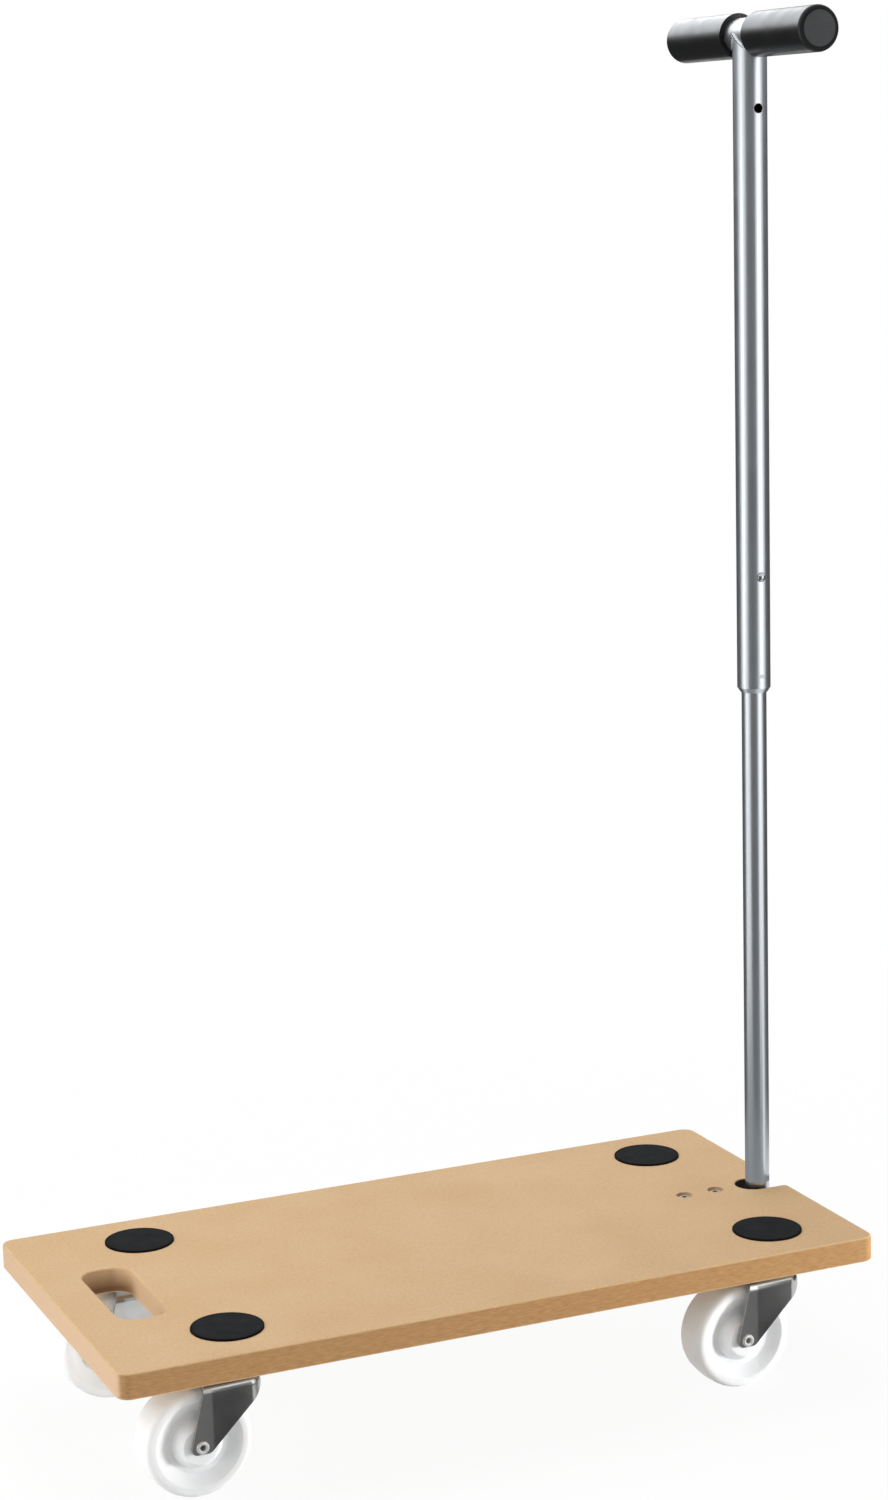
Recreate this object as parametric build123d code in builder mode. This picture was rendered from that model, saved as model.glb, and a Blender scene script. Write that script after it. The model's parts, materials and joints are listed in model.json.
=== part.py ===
from build123d import *
import os
from math import pi, sqrt

# Moving dolly with a telescopic T-handle, in millimetres.
# X runs along the deck to the handle end, Y to the dolly's left side, and Z up from the floor,
# which the wheels touch at Z = 0. The origin is on the floor, under the middle of the deck.

# Deck board
deck_length = 590.0
deck_width = 296.0
deck_thickness = 19.0
deck_corner_radius = 10.0
deck_edge_radius = 1.5
hand_hole_length = 106.0
hand_hole_width = 37.0
hand_hole_corner_radius = 14.0
hand_hole_inset = 51.0
notch_width = 28.0
notch_reach = 4.0
notch_mouth_radius = 4.0

# Anti-slip pads, let into the deck above the casters
pad_diameter = 52.0
pad_thickness = 3.0
pad_recess = 1.5
pad_edge_radius = 0.6
pad_clearance = 0.1

# Places of the casters and of the pole, from the nearest edge of the deck
rear_caster_inset = 95.0
front_caster_inset = 65.0
side_caster_inset = 49.5
pole_inset = 18.0

# Wheel
wheel_diameter = 80.0
tread_width = 30.0
tread_crown = 1.2
tread_edge_radius = 5.0
rim_thickness = 8.0
web_thickness = 19.0
hub_draft = 6.0
rim_draft = 9.0
wheel_soft_radius = 4.0
hub_wall = 7.0
hub_projection = 2.9
hub_clearance = 0.6

# Axle: a spacer sleeve between the fork's legs, held by a hollow rivet
sleeve_diameter = 12.0
rivet_diameter = 7.0
rivet_bore = 4.0
rivet_head_diameter = 9.4
rivet_head_height = 1.3

# Fork, drawn from sheet and open at the back, with a crease from which its legs run together to the front
fork_wall = 2.5
fork_front = 20.0
fork_back = 24.7
fork_crease = 20.0
fork_crease_radius = 20.0
fork_taper = 3.0
fork_corner_radius = 11.0
fork_shoulder_radius = 10.0
fork_front_wall = 12.6
fork_chin_radius = 25.0
fork_foot_reach = 8.8
fork_foot_drop = 5.0
fork_toe_radius = 4.0
fork_heel_radius = 6.0
fork_heel_offset = 6.0
caster_trail = 28.4

# Swivel head: plate, one ring of balls, and the kingpin with its thrust washer
plate_size = 64.0
plate_thickness = 2.5
plate_corner_radius = 6.0
plate_hole_spacing = 50.0
plate_hole_diameter = 5.0
plate_boss_diameter = 34.0
plate_boss_height = 2.3
plate_boss_radius = 1.5
ball_diameter = 6.0
race_diameter = 18.0
race_groove_depth = 0.75
race_clearance = 0.1
ball_spacing = 6.9
kingpin_diameter = 12.0
kingpin_head_diameter = 18.0
kingpin_head_height = 3.5
kingpin_head_chamfer = 1.0
kingpin_countersink = 1.4
thrust_washer_diameter = 20.0
thrust_washer_thickness = 1.7
thrust_clearance = 0.2
wheel_gap = 4.7

# Caster screws
screw_diameter = 4.0
screw_head_diameter = 9.0
screw_head_height = 2.4
screw_slot_width = 1.0
screw_slot_depth = 1.2
screw_tip_cover = 2.5

# Hinge bracket, a channel under the deck with its two bolts
bracket_wall = 2.5
bracket_inner_width = 21.0
bracket_bend_radius = 2.0
bracket_ear_depth = 11.0
bracket_ear_radius = 12.0
bracket_bolt_offset = 37.4
bracket_bolt_spacing = 27.3
bracket_end_margin = 13.0
pole_stop_gap = 0.3
bolt_diameter = 6.0
bolt_head_diameter = 11.6
bolt_head_height = 3.2
bolt_head_edge = 1.0
bolt_sink = 1.4
bolt_tail = 0.5
bolt_counterbore_diameter = 12.6
socket_across_flats = 4.0
socket_depth = 1.8
nut_across_flats = 10.0
nut_height = 5.0

# Pivot of the pole
fold_clearance = 3.0
pivot_bolt_diameter = 8.0
pivot_hex_across_flats = 13.0
pivot_head_height = 5.3
pivot_nut_height = 6.5
pivot_collar_height = 2.0
pivot_tail = 1.5
friction_washer_diameter = 18.0
friction_washer_thickness = 1.4
friction_washer_gap = 0.1

# Lower half of the handle
lower_tube_diameter = 19.0
lower_tube_wall = 1.5
knuckle_neck = 12.0
knuckle_spigot = 26.0
knuckle_pin_diameter = 4.0
knuckle_pin_height = 12.0
knuckle_pin_sink = 0.4
glide_length = 18.0
glide_cap = 2.0
glide_bore = 12.0
glide_top_gap = 8.0

# Snap button and its bent strip spring, heights above the deck
button_height = 481.0
button_diameter = 6.6
button_projection = 2.2
button_dome = 1.8
button_flange = 1.1
button_flange_thickness = 0.8
button_flange_gap = 0.3
spring_thickness = 0.8
spring_width = 8.0
spring_seat_height = 6.0
spring_depth = 34.0
spring_bend_radius = 2.5
spring_wall_gap = 0.1

# Upper half of the handle, heights above the deck
upper_tube_diameter = 25.4
upper_tube_wall = 1.2
upper_tube_end_height = 392.0
handle_travel = 346.0
crossbar_above_hole = 53.0
lock_hole_clearance = 0.35
swage_height = 3.6
swage_lip = 0.5
swage_clearance = 0.3
bush_length = 20.0
dimple_radius = 9.0
dimple_depth = 0.75
dimple_height = 11.0

# Crossbar, grips and end plugs
crossbar_diameter = 25.4
crossbar_wall = 1.2
grip_diameter = 33.0
grip_length = 85.0
grip_space = 32.0
grip_end_radius = 3.0
grip_inner_radius = 1.5
plug_flange = 1.5
plug_spigot = 14.0
plug_rib = 0.5
plug_rib_spacing = 4.0

# Clearances of pieces that run on each other, and of pieces that are fixed in each other
running_clearance = 0.06
fixed_clearance = 0.04

# Heights, from the floor up through the caster to the deck
axle_height = wheel_diameter / 2
fork_inside_top = wheel_diameter + wheel_gap
kingpin_head_top = fork_inside_top - thrust_washer_thickness - thrust_clearance
kingpin_bottom = kingpin_head_top - kingpin_head_height
fork_top = fork_inside_top + fork_wall
race_gap = ball_diameter - 2 * race_groove_depth
ball_height = fork_top + race_gap / 2
plate_bottom = fork_top + race_gap + plate_boss_height
deck_bottom = plate_bottom + plate_thickness
deck_top = deck_bottom + deck_thickness

# Heights of the handle
pivot_height = deck_bottom - grip_diameter / 2 - fold_clearance
lower_tube_bottom = pivot_height + knuckle_neck
button_z = deck_top + button_height
upper_hole_z = button_z + handle_travel
crossbar_z = upper_hole_z + crossbar_above_hole
upper_tube_bottom = deck_top + upper_tube_end_height
lower_tube_top = crossbar_z - handle_travel - crossbar_diameter / 2 - glide_top_gap - glide_cap

# Places in plan
pole_x = deck_length / 2 - pole_inset
hand_hole_x = hand_hole_inset - deck_length / 2
front_caster_x = deck_length / 2 - front_caster_inset
rear_caster_x = rear_caster_inset - deck_length / 2
side_caster_y = deck_width / 2 - side_caster_inset
bracket_bolts_x = [
    pole_x - bracket_bolt_offset,
    pole_x - bracket_bolt_offset - bracket_bolt_spacing,
]
corners = {
    "front_left": (front_caster_x, side_caster_y),
    "front_right": (front_caster_x, -side_caster_y),
    "rear_left": (rear_caster_x, side_caster_y),
    "rear_right": (rear_caster_x, -side_caster_y),
}

# Radii and widths that follow
lower_radius = lower_tube_diameter / 2
lower_bore_radius = lower_radius - lower_tube_wall
upper_radius = upper_tube_diameter / 2
upper_bore_radius = upper_radius - upper_tube_wall
lock_hole_radius = button_diameter / 2 + lock_hole_clearance
crossbar_radius = crossbar_diameter / 2
hub_width = tread_width + 2 * hub_projection
fork_inner_width = hub_width + 2 * hub_clearance
fork_width = fork_inner_width + 2 * fork_wall
bracket_width = bracket_inner_width + 2 * bracket_wall
knuckle_width = bracket_inner_width - 2 * (friction_washer_thickness + friction_washer_gap)
crossbar_length = grip_space + 2 * (grip_length - plug_flange)
screw_bite = deck_thickness - pad_recess - screw_tip_cover

# Planes and axes of the turned pieces
axle_plane = Plane(origin=(-caster_trail, 0, axle_height), x_dir=(0, 1, 0), z_dir=(1, 0, 0))
axle_axis = Axis((-caster_trail, 0, axle_height), (0, 1, 0))
pole_plane = Plane(origin=(pole_x, 0, 0), x_dir=(1, 0, 0), z_dir=(0, -1, 0))
pole_axis = Axis((pole_x, 0, 0), (0, 0, 1))
crossbar_plane = Plane(origin=(pole_x, 0, crossbar_z), x_dir=(0, 1, 0), z_dir=(1, 0, 0))
crossbar_axis = Axis((pole_x, 0, crossbar_z), (0, 1, 0))
across_y = (90, 0, 0)
on_seat = (Align.CENTER, Align.CENTER, Align.MIN)
below_seat = (Align.CENTER, Align.CENTER, Align.MAX)

os.makedirs("parts", exist_ok=True)


def save(piece, name):
    """Label a finished piece and write it to its own file."""
    piece.label = name
    export_step(piece, f"parts/{name}.step")


def cap_radius(rim, height):
    """Radius of the ball that a cap with this rim radius and height is cut from."""
    return (rim**2 + height**2) / (2 * height)


def plate_corners(x, y, height):
    """The four screw places of a caster plate round its swivel axis."""
    half = plate_hole_spacing / 2
    return [(x + sx * half, y + sy * half, height) for sx in (-1, 1) for sy in (-1, 1)]


# Deck board
with BuildPart() as deck_board:
    with BuildSketch(Plane.XY.offset(deck_bottom)) as deck_outline:
        RectangleRounded(deck_length, deck_width, deck_corner_radius)
        with Locations((hand_hole_x, 0)):
            RectangleRounded(
                hand_hole_width, hand_hole_length, hand_hole_corner_radius, mode=Mode.SUBTRACT
            )
        with Locations((pole_x - notch_reach, 0)):
            Circle(notch_width / 2, mode=Mode.SUBTRACT)
            Rectangle(
                2 * (notch_reach + pole_inset),
                notch_width,
                align=(Align.MIN, Align.CENTER),
                mode=Mode.SUBTRACT,
            )
        mouth = deck_outline.vertices().filter_by(
            lambda v: v.X > pole_x and abs(abs(v.Y) - notch_width / 2) < deck_edge_radius
        )
        fillet(mouth.sort_by(Axis.X)[-2:], notch_mouth_radius)
    extrude(amount=deck_thickness)
    rims = deck_board.faces().filter_by(Axis.Z).edges()
    fillet(rims, deck_edge_radius)
    with Locations(*[(x, y, deck_top) for x, y in corners.values()]):
        Cylinder(
            pad_diameter / 2 + pad_clearance, pad_recess, align=below_seat, mode=Mode.SUBTRACT
        )
    with Locations(*[(x, 0, deck_top) for x in bracket_bolts_x]):
        CounterBoreHole(
            radius=bolt_diameter / 2 + fixed_clearance,
            counter_bore_radius=bolt_counterbore_diameter / 2,
            counter_bore_depth=bolt_sink + bolt_head_height,
        )
    for x, y in corners.values():
        with Locations(*plate_corners(x, y, deck_bottom)):
            Cylinder(
                screw_diameter / 2 + fixed_clearance, screw_bite, align=on_seat, mode=Mode.SUBTRACT
            )
save(deck_board.part, "deck_board")

# Anti-slip pads
with BuildPart() as pad:
    with Locations((0, 0, deck_top - pad_recess)):
        Cylinder(pad_diameter / 2, pad_thickness, align=on_seat)
    fillet(pad.faces().sort_by(Axis.Z)[-1].edges(), pad_edge_radius)
for corner, (x, y) in corners.items():
    save(pad.part.moved(Location((x, y, 0))), f"pad_{corner}")

# Caster plate, with a boss for the upper half of the ball race and the countersink of the kingpin
with BuildPart() as mounting_plate:
    with BuildSketch(Plane.XY.offset(plate_bottom)):
        RectangleRounded(plate_size, plate_size, plate_corner_radius)
        with GridLocations(plate_hole_spacing, plate_hole_spacing, 2, 2):
            Circle(plate_hole_diameter / 2, mode=Mode.SUBTRACT)
    extrude(amount=plate_thickness)
    with Locations((0, 0, plate_bottom)):
        Cylinder(plate_boss_diameter / 2, plate_boss_height, align=below_seat)
    fillet(mounting_plate.faces().sort_by(Axis.Z)[0].edges(), plate_boss_radius)
    with Locations((0, 0, deck_bottom)):
        Hole(kingpin_diameter / 2 + fixed_clearance)
        Cone(
            kingpin_diameter / 2 + fixed_clearance,
            kingpin_diameter / 2 + fixed_clearance + kingpin_countersink,
            kingpin_countersink,
            align=below_seat,
            mode=Mode.SUBTRACT,
        )
    with Locations((0, 0, ball_height)):
        Torus(race_diameter / 2, ball_diameter / 2 + race_clearance, mode=Mode.SUBTRACT)

# Ring of race balls
with BuildPart() as race_balls:
    with Locations((0, 0, ball_height)):
        with PolarLocations(race_diameter / 2, int(pi * race_diameter / ball_spacing)):
            Sphere(ball_diameter / 2)

# Kingpin, riveted into the plate and headed under the fork
with BuildPart() as kingpin:
    with BuildSketch(Plane.XZ):
        with BuildLine():
            Polyline(
                (0, kingpin_bottom),
                (kingpin_head_diameter / 2 - kingpin_head_chamfer, kingpin_bottom),
                (kingpin_head_diameter / 2, kingpin_bottom + kingpin_head_chamfer),
                (kingpin_head_diameter / 2, kingpin_head_top),
                (kingpin_diameter / 2, kingpin_head_top),
                (kingpin_diameter / 2, deck_bottom - kingpin_countersink),
                (kingpin_diameter / 2 + kingpin_countersink, deck_bottom),
                (0, deck_bottom),
                close=True,
            )
        make_face()
    revolve(axis=Axis.Z)

# Thrust washer on the kingpin's head
with BuildPart() as thrust_washer:
    with BuildSketch(Plane.XY.offset(kingpin_head_top)):
        Circle(thrust_washer_diameter / 2)
        Circle(kingpin_diameter / 2 + fixed_clearance, mode=Mode.SUBTRACT)
    extrude(amount=thrust_washer_thickness)


def fork_cap(inset):
    """Rounded cap that the fork is drawn to, taken in by inset on every side but the back."""
    front = fork_front - inset
    back = caster_trail + fork_foot_reach + inset
    heel_half = fork_width / 2 - inset
    nose_half = heel_half - fork_taper * (front + fork_crease) / (fork_front + fork_crease)
    half_plan = [(-back, heel_half), (-fork_crease, heel_half), (front, nose_half)]
    other_half = [(x, -y) for x, y in reversed(half_plan)]
    with BuildPart() as cap:
        with BuildSketch(Plane.XY.offset(fork_top - inset)) as plan:
            Polygon(*half_plan, *other_half, align=None)
            fillet(plan.vertices().group_by(Axis.X)[1], fork_crease_radius - inset)
            fillet(plan.vertices().group_by(Axis.X)[-1], fork_corner_radius - inset)
        extrude(amount=inset - fork_top)
        crown = cap.faces().sort_by(Axis.Z)[-1].edges().sort_by(Axis.X)[1:]
        fillet(crown, fork_shoulder_radius - inset)
    return cap.part


# Fork, with the lower half of the ball race, the kingpin's bore and the axle holes
with BuildPart() as fork:
    add(fork_cap(0))
    add(fork_cap(fork_wall), mode=Mode.SUBTRACT)
    with BuildSketch(Plane.XZ) as leg:
        Polygon(
            (-fork_back, fork_top),
            (fork_front, fork_top),
            (fork_front, fork_top - fork_front_wall),
            (fork_heel_offset - caster_trail, axle_height - fork_foot_drop),
            (-fork_foot_reach - caster_trail, axle_height - fork_foot_drop),
            align=None,
        )
        fillet(leg.vertices().group_by(Axis.X)[-1].sort_by(Axis.Y)[0], fork_chin_radius)
        fillet(leg.vertices().group_by(Axis.Y)[0].sort_by(Axis.X)[-1], fork_heel_radius)
        fillet(leg.vertices().group_by(Axis.Y)[0].sort_by(Axis.X)[0], fork_toe_radius)
    extrude(amount=fork_width, both=True, mode=Mode.INTERSECT)
    with Locations((0, 0, ball_height)):
        Torus(race_diameter / 2, ball_diameter / 2 + race_clearance, mode=Mode.SUBTRACT)
    with Locations((0, 0, fork_top)):
        Cylinder(
            kingpin_diameter / 2 + running_clearance,
            2 * fork_wall,
            align=below_seat,
            mode=Mode.SUBTRACT,
        )
    with Locations(Location((-caster_trail, 0, axle_height), across_y)):
        Cylinder(rivet_diameter / 2 + fixed_clearance, 2 * fork_width, mode=Mode.SUBTRACT)

# Spacer sleeve that the wheel runs on
with BuildPart() as axle_sleeve:
    with Locations(Location((-caster_trail, 0, axle_height), across_y)):
        Cylinder(sleeve_diameter / 2, fork_inner_width)
        Cylinder(rivet_diameter / 2 + fixed_clearance, fork_inner_width, mode=Mode.SUBTRACT)

# Hollow axle rivet, rolled over at both ends
with BuildPart() as axle_rivet:
    with BuildSketch(axle_plane):
        with BuildLine():
            side = fork_width / 2
            bead = (rivet_bore + rivet_head_diameter) / 4
            Line((-side, rivet_bore / 2), (side, rivet_bore / 2))
            ThreePointArc(
                (side, rivet_bore / 2), (side + rivet_head_height, bead), (side, rivet_head_diameter / 2)
            )
            Polyline(
                (side, rivet_head_diameter / 2),
                (side, rivet_diameter / 2),
                (-side, rivet_diameter / 2),
                (-side, rivet_head_diameter / 2),
            )
            ThreePointArc(
                (-side, rivet_head_diameter / 2), (-side - rivet_head_height, bead), (-side, rivet_bore / 2)
            )
        make_face()
    revolve(axis=axle_axis)

# Wheel, one moulding with a crowned tread, a thin web and a long hub
with BuildPart() as wheel:
    wheel_radius = wheel_diameter / 2
    hub_radius = sleeve_diameter / 2 + hub_wall
    rim_radius = wheel_radius - rim_thickness
    web_reach = rim_radius - rim_draft - hub_radius - hub_draft
    soft_radius = min(wheel_soft_radius, web_reach)
    flank = [
        (hub_width / 2, sleeve_diameter / 2 + running_clearance),
        (hub_width / 2, hub_radius),
        (web_thickness / 2, hub_radius + hub_draft),
        (web_thickness / 2, rim_radius - rim_draft),
        (tread_width / 2, rim_radius),
        (tread_width / 2, wheel_radius - tread_crown),
    ]
    other_flank = [(-along, radius) for along, radius in reversed(flank)]
    with BuildSketch(axle_plane) as wheel_section:
        with BuildLine():
            Polyline(*other_flank, *flank)
            ThreePointArc(flank[-1], (0, wheel_radius), other_flank[0])
        make_face()
        rings = wheel_section.vertices().group_by(Axis.Y)
        fillet(rings[-1], tread_edge_radius)
        for edges in rings[1:-1]:
            fillet(edges, soft_radius)
    revolve(axis=axle_axis)

caster_pieces = {
    "mounting_plate": mounting_plate,
    "race_balls": race_balls,
    "kingpin": kingpin,
    "thrust_washer": thrust_washer,
    "fork": fork,
    "axle_sleeve": axle_sleeve,
    "axle_rivet": axle_rivet,
    "wheel": wheel,
}
for corner, (x, y) in corners.items():
    for name, piece in caster_pieces.items():
        save(piece.part.moved(Location((x, y, 0))), f"{name}_{corner}")

# One caster screw, with a domed head and a cross slot
with BuildPart() as screw:
    with BuildSketch(Plane.XZ):
        with BuildLine():
            head = screw_head_diameter / 2
            shank = screw_diameter / 2
            Line((0, -screw_head_height), (0, plate_thickness + screw_bite))
            Polyline(
                (0, plate_thickness + screw_bite),
                (shank, plate_thickness + screw_bite - shank),
                (shank, 0),
                (head, 0),
            )
            RadiusArc((head, 0), (0, -screw_head_height), cap_radius(head, screw_head_height))
        make_face()
    revolve(axis=Axis.Z)
    with Locations((0, 0, -screw_head_height)):
        Box(screw_head_diameter / 2, screw_slot_width, 2 * screw_slot_depth, mode=Mode.SUBTRACT)
        Box(screw_slot_width, screw_head_diameter / 2, 2 * screw_slot_depth, mode=Mode.SUBTRACT)

with BuildPart() as caster_screws:
    for x, y in corners.values():
        with Locations(*plate_corners(x, y, plate_bottom)):
            add(screw.part)
save(caster_screws.part, "caster_screws")

# Hinge bracket: a channel whose ears run forward past the pole, and whose web stops the pole upright
with BuildPart() as hinge_bracket:
    bracket_back = bracket_bolts_x[-1] - bracket_end_margin
    bracket_front = pole_x + bracket_ear_radius
    with BuildSketch(Plane.XZ):
        with Locations((pole_x, pivot_height)):
            Circle(bracket_ear_radius)
        with Locations((bracket_back, deck_bottom)):
            Rectangle(
                bracket_front - bracket_back, bracket_ear_depth, align=(Align.MIN, Align.MAX)
            )
        make_hull()
    extrude(amount=bracket_width / 2, both=True)
    bends = hinge_bracket.faces().sort_by(Axis.Z)[-1].edges().filter_by(Axis.X)
    fillet(bends, bracket_bend_radius)
    with Locations((bracket_back, 0, deck_bottom - bracket_wall)):
        Box(
            2 * (bracket_front - bracket_back),
            bracket_inner_width,
            2 * deck_bottom,
            align=below_seat,
            mode=Mode.SUBTRACT,
        )
    with Locations((pole_x - lower_radius - pole_stop_gap, 0, deck_bottom)):
        Box(
            bracket_front - bracket_back,
            bracket_inner_width,
            2 * deck_bottom,
            align=(Align.MIN, Align.CENTER, Align.CENTER),
            mode=Mode.SUBTRACT,
        )
    with Locations(*[(x, 0, deck_bottom) for x in bracket_bolts_x]):
        Hole(bolt_diameter / 2 + fixed_clearance, depth=2 * bracket_wall)
    with Locations(Location((pole_x, 0, pivot_height), across_y)):
        Cylinder(
            pivot_bolt_diameter / 2 + fixed_clearance, 2 * bracket_width, mode=Mode.SUBTRACT
        )
save(hinge_bracket.part, "hinge_bracket")

# The bracket's two bolts, with sunk button heads, and their nuts
nut_bottom = deck_bottom - bracket_wall - nut_height
bolt_head_top = deck_top - bolt_sink
with BuildPart() as bracket_bolts:
    for x in bracket_bolts_x:
        with Locations((x, 0, bolt_head_top)):
            Cylinder(bolt_head_diameter / 2, bolt_head_height, align=below_seat)
        with Locations((x, 0, nut_bottom - bolt_tail)):
            Cylinder(bolt_diameter / 2, bolt_head_top - nut_bottom, align=on_seat)
    domes = bracket_bolts.faces().filter_by(Axis.Z).group_by(Axis.Z)[-1].edges()
    fillet(domes, bolt_head_height - bolt_head_edge)
    with BuildSketch(Plane.XY.offset(bolt_head_top)):
        with Locations(*[(x, 0) for x in bracket_bolts_x]):
            RegularPolygon(socket_across_flats / 2, 6, major_radius=False)
    extrude(amount=-socket_depth, mode=Mode.SUBTRACT)
save(bracket_bolts.part, "bracket_bolts")

with BuildPart() as bracket_nuts:
    with BuildSketch(Plane.XY.offset(nut_bottom)):
        with Locations(*[(x, 0) for x in bracket_bolts_x]):
            RegularPolygon(nut_across_flats / 2, 6, major_radius=False)
            Circle(bolt_diameter / 2 + fixed_clearance, mode=Mode.SUBTRACT)
    extrude(amount=nut_height)
save(bracket_nuts.part, "bracket_nuts")

# Pivot bolt across the ears, its head on the right and its lock nut on the left
right_ear = Plane(origin=(pole_x, -bracket_width / 2, pivot_height), x_dir=(1, 0, 0), z_dir=(0, -1, 0))
left_ear = Plane(origin=(pole_x, bracket_width / 2, pivot_height), x_dir=(1, 0, 0), z_dir=(0, 1, 0))
with BuildPart() as pivot_bolt:
    with BuildSketch(right_ear):
        RegularPolygon(pivot_hex_across_flats / 2, 6, major_radius=False)
    extrude(amount=pivot_head_height)
    with BuildSketch(right_ear):
        Circle(pivot_bolt_diameter / 2)
    extrude(amount=-(bracket_width + pivot_nut_height + pivot_collar_height + pivot_tail))
save(pivot_bolt.part, "pivot_bolt")

with BuildPart() as pivot_nut:
    with BuildSketch(left_ear):
        RegularPolygon(pivot_hex_across_flats / 2, 6, major_radius=False)
    extrude(amount=pivot_nut_height)
    with BuildSketch(left_ear.offset(pivot_nut_height)):
        Circle((pivot_bolt_diameter + pivot_hex_across_flats) / 4)
    extrude(amount=pivot_collar_height)
    with Locations(Location((pole_x, bracket_width / 2, pivot_height), across_y)):
        Cylinder(
            pivot_bolt_diameter / 2 + fixed_clearance, 2 * bracket_width, mode=Mode.SUBTRACT
        )
save(pivot_nut.part, "pivot_nut")

# Friction washers between the ears and the knuckle
with BuildPart() as friction_washers:
    for ear in (right_ear, left_ear):
        with BuildSketch(ear.offset(-bracket_wall)):
            Circle(friction_washer_diameter / 2)
            Circle(pivot_bolt_diameter / 2 + fixed_clearance, mode=Mode.SUBTRACT)
        extrude(amount=-friction_washer_thickness)
save(friction_washers.part, "friction_washers")

# Hinge knuckle: an eye on the pivot bolt, and a spigot up into the lower tube
with BuildPart() as hinge_knuckle:
    with Locations(Location((pole_x, 0, pivot_height), across_y)):
        Cylinder(lower_radius, knuckle_width)
    with Locations((pole_x, 0, pivot_height)):
        Cylinder(lower_radius, knuckle_neck, align=on_seat)
        Box(2 * lower_radius, knuckle_width, 4 * knuckle_neck, mode=Mode.INTERSECT)
    with Locations((pole_x, 0, lower_tube_bottom)):
        Cylinder(lower_bore_radius - fixed_clearance, knuckle_spigot, align=on_seat)
    with Locations(Location((pole_x, 0, pivot_height), across_y)):
        Cylinder(
            pivot_bolt_diameter / 2 + running_clearance, 2 * knuckle_width, mode=Mode.SUBTRACT
        )
    with Locations(Location((pole_x, 0, lower_tube_bottom + knuckle_pin_height), across_y)):
        Cylinder(
            knuckle_pin_diameter / 2 + fixed_clearance, lower_tube_diameter, mode=Mode.SUBTRACT
        )
save(hinge_knuckle.part, "hinge_knuckle")

with BuildPart() as knuckle_pin:
    with Locations(Location((pole_x, 0, lower_tube_bottom + knuckle_pin_height), across_y)):
        Cylinder(knuckle_pin_diameter / 2, lower_tube_diameter - 2 * knuckle_pin_sink)
save(knuckle_pin.part, "knuckle_pin")

# Lower tube, with the pin's cross hole and the button's hole in its right side
with BuildPart() as lower_tube:
    with BuildSketch(Plane.XY.offset(lower_tube_bottom)):
        with Locations((pole_x, 0)):
            Circle(lower_radius)
            Circle(lower_bore_radius, mode=Mode.SUBTRACT)
    extrude(amount=lower_tube_top - lower_tube_bottom)
    with Locations(Location((pole_x, 0, lower_tube_bottom + knuckle_pin_height), across_y)):
        Cylinder(
            knuckle_pin_diameter / 2 + fixed_clearance, 2 * lower_tube_diameter, mode=Mode.SUBTRACT
        )
    with Locations(Location((pole_x, 0, button_z), across_y)):
        Cylinder(lock_hole_radius, lower_tube_diameter, align=on_seat, mode=Mode.SUBTRACT)
save(lower_tube.part, "lower_tube")

# Glide sleeve over the top of the lower tube, running in the upper one
with BuildPart() as glide_sleeve:
    with BuildSketch(pole_plane):
        with BuildLine():
            Polyline(
                (lower_radius + fixed_clearance, lower_tube_top - glide_length),
                (upper_bore_radius - running_clearance, lower_tube_top - glide_length),
                (upper_bore_radius - running_clearance, lower_tube_top + glide_cap),
                (glide_bore / 2, lower_tube_top + glide_cap),
                (glide_bore / 2, lower_tube_top),
                (lower_radius + fixed_clearance, lower_tube_top),
                close=True,
            )
        make_face()
    revolve(axis=pole_axis)
save(glide_sleeve.part, "glide_sleeve")

# Snap button, flanged inside the lower tube and domed outside the upper one
button_radius = button_diameter / 2
flange_radius = button_radius + button_flange
flange_face = sqrt(lower_bore_radius**2 - flange_radius**2) - button_flange_gap
button_seat = flange_face - button_flange_thickness
button_tip = upper_radius + button_projection
button_plane = Plane(origin=(pole_x, 0, button_z), x_dir=(0, -1, 0), z_dir=(-1, 0, 0))
with BuildPart() as snap_button:
    with BuildSketch(button_plane):
        with BuildLine():
            Polyline(
                (button_tip, 0),
                (button_seat, 0),
                (button_seat, flange_radius),
                (flange_face, flange_radius),
                (flange_face, button_radius),
                (button_tip - button_dome, button_radius),
            )
            RadiusArc(
                (button_tip - button_dome, button_radius),
                (button_tip, 0),
                cap_radius(button_radius, button_dome),
            )
        make_face()
    revolve(axis=Axis((pole_x, 0, button_z), (0, -1, 0)))
save(snap_button.part, "snap_button")

# Strip spring bent to a V, one leg behind the button and the other on the far wall of the tube
with BuildPart() as button_spring:
    half_strip = spring_thickness / 2
    wall_face = sqrt(lower_bore_radius**2 - (spring_width / 2) ** 2) - spring_wall_gap
    button_leg = half_strip - button_seat
    wall_leg = wall_face - half_strip
    spring_foot = button_z - spring_seat_height - spring_depth
    with BuildSketch(Plane.YZ.offset(pole_x)):
        with BuildLine():
            FilletPolyline(
                (button_leg, button_z + spring_seat_height),
                (button_leg, button_z - spring_seat_height),
                ((button_leg + wall_leg) / 2, spring_foot),
                (wall_leg, button_z - spring_seat_height),
                (wall_leg, button_z + spring_seat_height),
                radius=spring_bend_radius,
            )
        trace(line_width=spring_thickness)
    extrude(amount=spring_width / 2, both=True)
save(button_spring.part, "button_spring")

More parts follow.
